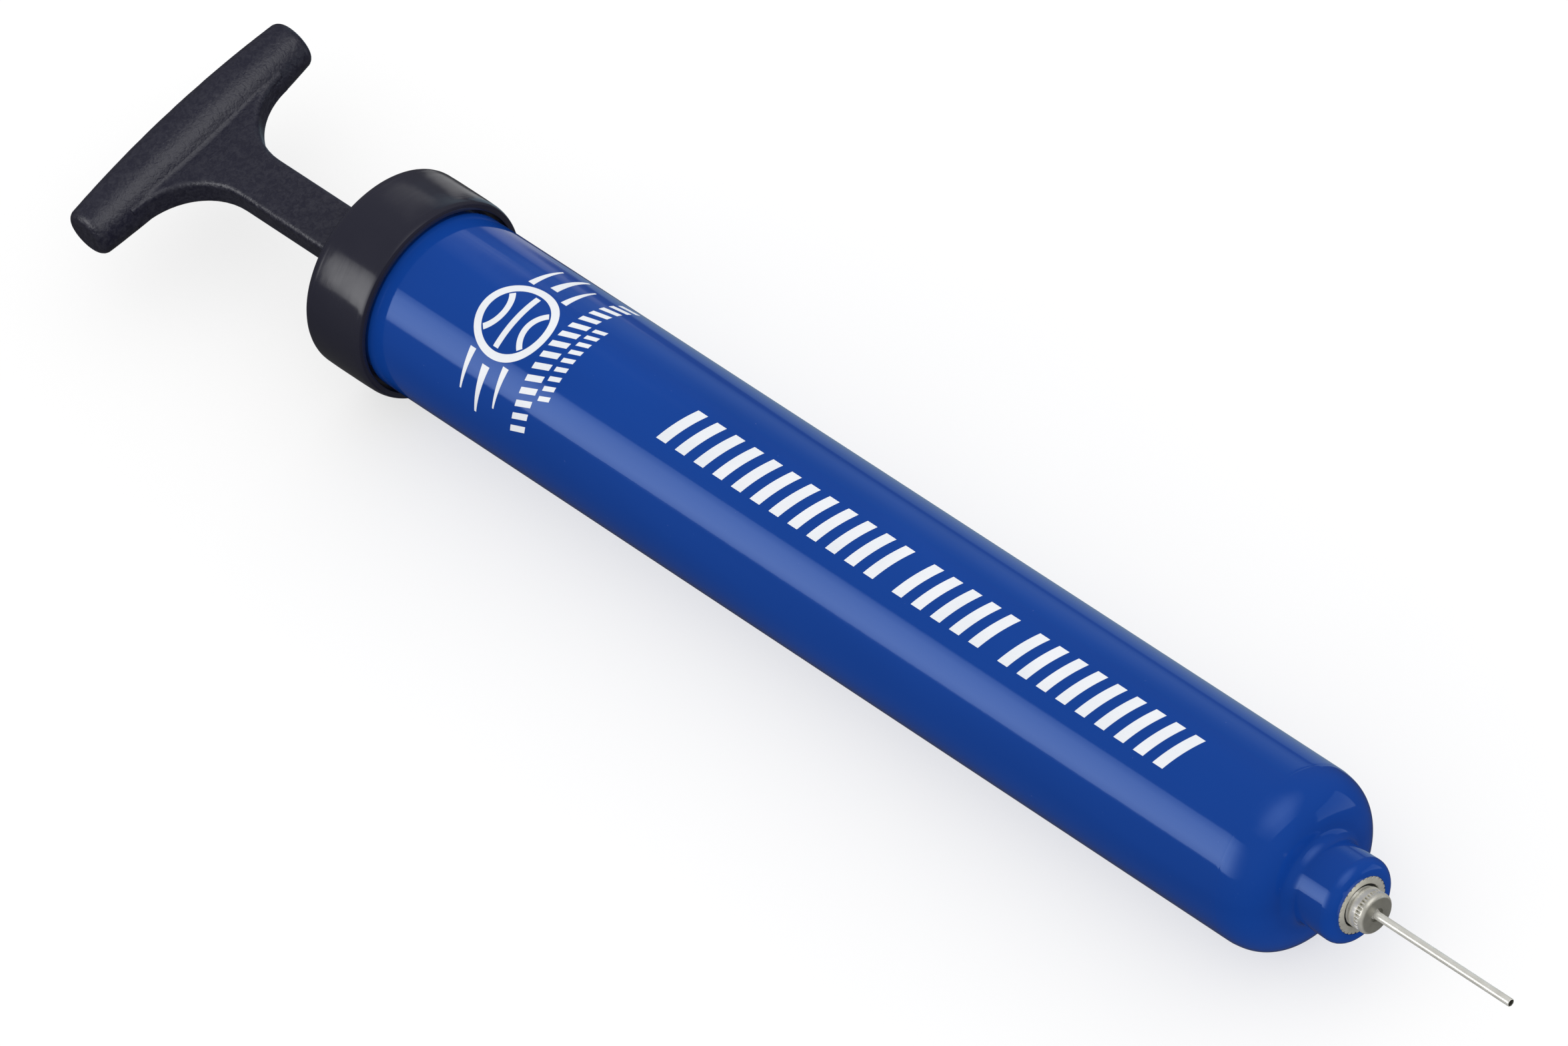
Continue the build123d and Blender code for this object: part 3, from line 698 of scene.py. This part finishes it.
def make_ticks():
    """Two rows of short ticks that curve round the barrel, each leaning by the same slope."""
    slope = 0.35
    ticks = []
    # For each row: the stations along a tick, the station it leans about, count, first arc, pitch, width.
    for stations, pivot, count, first, pitch, width in (
        ((-194.2, -193.0, -191.9, -190.7), -192.5, 15, -19.6, 2.5, 1.25),
        ((-189.8, -188.6, -187.4), -188.6, 9, -11.6, 2.0, 0.95),
    ):
        for step in range(count):
            arc = first + pitch * step
            rows = [
                [(station, arc + slope * (station - pivot) + width * column / 4) for column in range(5)]
                for station in stations
            ]
            ticks.append((rows, False))
    print_film("print_ticks", ticks)


def make_bars():
    """Three groups of slanted bars along the barrel."""
    pitch, width, arc_start, arc_end, slant = 4.75, 2.4, -5.9, 2.5, 2.8
    bars = []
    for start, count in ((-161.0, 12), (-101.6, 5), (-75.4, 9)):
        for step in range(count):
            bars.append(slanted_bar(start + pitch * step, width, arc_start, arc_end, slant))
    print_film("print_bars", bars)


make_ball_mark()
make_ticks()
make_bars()

# ---------------------------------------------------------------- stage, lights and camera

# Both in metres.
CARD_DISTANCE = 1.3
SURROUND_RADIUS = 7.0


def make_floor():
    """Pale floor that touches both the collar's front rim and the barrel's shoulder."""
    rim_x = RIM_X - 0.7 * MM
    shoulder_x = NOZZLE_X - 20.0 * MM
    slope = (AXIS_Z - BARREL_RADIUS * MM) / (shoulder_x - rim_x)
    half = 4.0
    plan = ((-half, -half), (half, -half), (half, half), (-half, half))
    corners = [(x, y, (x - rim_x) * slope) for x, y in plan]
    mesh = bpy.data.meshes.new("floor")
    mesh.from_pydata(corners, [], [(0, 1, 2, 3)])
    floor = bpy.data.objects.new("floor", mesh)
    bpy.context.scene.collection.objects.link(floor)
    mesh.materials.append(floor_paper())
    floor.visible_glossy = False
    floor.visible_diffuse = False


def glow_material(name, color):
    """Emission whose strength is the mesh's own glow value."""
    material = bpy.data.materials.new(name)
    material.use_nodes = True
    material.cycles.emission_sampling = "FRONT_BACK"
    tree = material.node_tree
    tree.nodes.clear()
    level = tree.nodes.new("ShaderNodeAttribute")
    level.attribute_name = "glow"
    light = tree.nodes.new("ShaderNodeEmission")
    light.inputs["Color"].default_value = (*color, 1.0)
    output = tree.nodes.new("ShaderNodeOutputMaterial")
    tree.links.new(level.outputs["Fac"], light.inputs["Strength"])
    tree.links.new(light.outputs[0], output.inputs[0])
    return material


def make_reflector(name, points, faces, levels, color=(1, 1, 1)):
    """A glowing stage piece that shows only in the gloss of other things."""
    mesh = bpy.data.meshes.new(name)
    mesh.from_pydata(points, [], faces)
    glow = mesh.attributes.new("glow", "FLOAT", "POINT")
    for index, level in enumerate(levels):
        glow.data[index].value = level
    mesh.materials.append(glow_material(name, color))
    piece = bpy.data.objects.new(name, mesh)
    piece.visible_camera = False
    piece.visible_diffuse = False
    piece.visible_shadow = False
    bpy.context.scene.collection.objects.link(piece)
    return piece


def dim_level(place):
    """The surround's brightness in the direction of a place, from dim below to brighter above."""
    return 0.12 + 0.06 * max(-1.0, min(1.0, place.normalized().z * 2.33))


def make_card(name, across, along, levels, color=(1, 1, 1)):
    """A reflector card beside the pump, parallel to it, nowhere darker than the surround.

    Across gives its two edges as angles about the axis from straight up towards +Y, and levels gives its
    brightness at even steps from the first edge to the second. Along gives (x in metres, share of that
    brightness) from one end to the other.
    """
    middle = math.radians(sum(across) / 2)
    outward = Vector((0, math.sin(middle), math.cos(middle)))
    sideways = Vector((0, math.cos(middle), -math.sin(middle)))
    edges = [CARD_DISTANCE * math.tan(math.radians(angle) - middle) for angle in across]
    centre = Vector((0, 0, AXIS_Z)) + outward * CARD_DISTANCE
    points = []
    glows = []
    for step, level in enumerate(levels):
        place = edges[0] + (edges[1] - edges[0]) * step / (len(levels) - 1)
        for x, share in along:
            point = centre + sideways * place + Vector((x, 0, 0))
            points.append(point)
            glows.append(max(level * share, dim_level(point)))
    wide = len(along)
    faces = []
    for row in range(len(levels) - 1):
        for column in range(wide - 1):
            corner = row * wide + column
            faces.append((corner, corner + 1, corner + wide + 1, corner + wide))
    make_reflector(name, points, faces, glows, color)


def make_surround():
    """A huge dim globe round everything, a little brighter above, for the gloss to mirror."""
    globe = bmesh.new()
    bmesh.ops.create_uvsphere(globe, u_segments=24, v_segments=16, radius=SURROUND_RADIUS)
    points = [vertex.co.copy() for vertex in globe.verts]
    faces = [[vertex.index for vertex in face.verts] for face in globe.faces]
    globe.free()
    levels = [dim_level(point) for point in points]
    surround = make_reflector("surround", points, faces, levels)
    surround.data.materials[0].cycles.emission_sampling = "NONE"


def make_flag():
    """A dark ring over the collar's front rim that keeps the cards' reflections off the barrel's end."""
    station = (RIM_X - NOZZLE_X) / MM + 0.05
    edges = (18.95, 21.6)
    points = [on_pump(station, 3 * step, radius) for step in range(120) for radius in edges]
    count = len(points)
    faces = [(at, at + 1, (at + 3) % count, (at + 2) % count) for at in range(0, count, 2)]
    make_reflector("flag", points, faces, [0.0] * count)


def make_camera():
    """A long lens looking down at the pump from its needle end, and rolled."""
    azimuth, elevation, roll = (math.radians(angle) for angle in (-28.371, 49.663, -21.465))
    distance = 2.9149
    aim = Vector((NOZZLE_X - 143.22 * MM, 0.58 * MM, AXIS_Z))
    data = bpy.data.cameras.new("camera")
    data.sensor_width = 36.0
    data.lens = 383.3
    data.clip_end = 20.0
    camera = bpy.data.objects.new("camera", data)
    level = Euler((math.pi / 2 - elevation, 0, math.pi / 2 + azimuth)).to_matrix()
    turn = level @ Matrix.Rotation(roll, 3, "Z")
    camera.matrix_world = Matrix.Translation(aim + turn.col[2] * distance) @ turn.to_4x4()
    bpy.context.scene.collection.objects.link(camera)
    bpy.context.scene.camera = camera


def make_world(mean, lean):
    """Soft white light that glossy surfaces don't mirror, brighter towards one side.

    Lean is a vector: light from a direction is the mean plus its dot product with the lean.
    """
    world = bpy.data.worlds.new("studio")
    bpy.context.scene.world = world
    world.use_nodes = True
    tree = world.node_tree
    background = tree.nodes["Background"]
    background.inputs["Color"].default_value = (1, 1, 1, 1)
    place = tree.nodes.new("ShaderNodeTexCoord")
    dot = tree.nodes.new("ShaderNodeVectorMath")
    dot.operation = "DOT_PRODUCT"
    dot.inputs[1].default_value = lean
    total = tree.nodes.new("ShaderNodeMath")
    total.operation = "ADD"
    total.inputs[1].default_value = mean
    tree.links.new(place.outputs["Generated"], dot.inputs[0])
    tree.links.new(dot.outputs["Value"], total.inputs[0])
    tree.links.new(total.outputs[0], background.inputs["Strength"])
    world.cycles_visibility.glossy = False


make_floor()
make_flag()
make_surround()
key_length = (
    (-1.13, 0.05), (-1.08, 1), (-0.42, 1), (-0.30, 0.85), (-0.12, 0.60), (0.05, 0.40), (0.25, 0.22),
    (0.50, 0.12), (0.80, 0.07),
)
top_length = (
    (-0.5, 0.15), (-0.25, 0.25), (0.0, 0.45), (0.25, 0.85), (0.5, 1.1), (0.9, 1.15), (1.2, 0.95),
    (1.7, 0.8), (2.4, 0.7),
)
barrel_length = ((-1.02, 1), (-0.62, 1))
collar_length = ((-1.10, 1), (-1.02, 1))
bluish, pale_blue, paler_blue = (0.62, 0.84, 1), (0.75, 0.95, 1.05), (0.8, 0.92, 1)
make_card("key_card", (-36, -75), key_length, (1.2, 2.3, 2.6, 2.7, 2.0))
make_card("far_card", (58, 97), barrel_length, (0.20, 0.26, 0.38, 0.42, 0.22), pale_blue)
make_card("under_card", (103, 160), barrel_length, (0.36, 0.46, 0.44, 0.38, 0.34), bluish)
make_card("collar_card", (26, 80), collar_length, (0.2, 0.36, 0.54, 0.76, 0.95))
make_card("collar_side_card", (80.5, 150), collar_length, (0.42, 0.46, 0.62, 0.62, 0.60, 0.60))
make_card("top_card", (-22, 52), top_length, (0.2, 0.5, 1.0, 1.2, 1.0, 0.5, 0.2))
make_card("side_card", (94, 126), ((0.6, 1), (2.1, 1)), (0.40, 0.46, 0.60), paler_blue)
make_world(0.97, (0.12, 0.12, 0.15))
make_camera()
bpy.context.scene.view_settings.view_transform = "Standard"
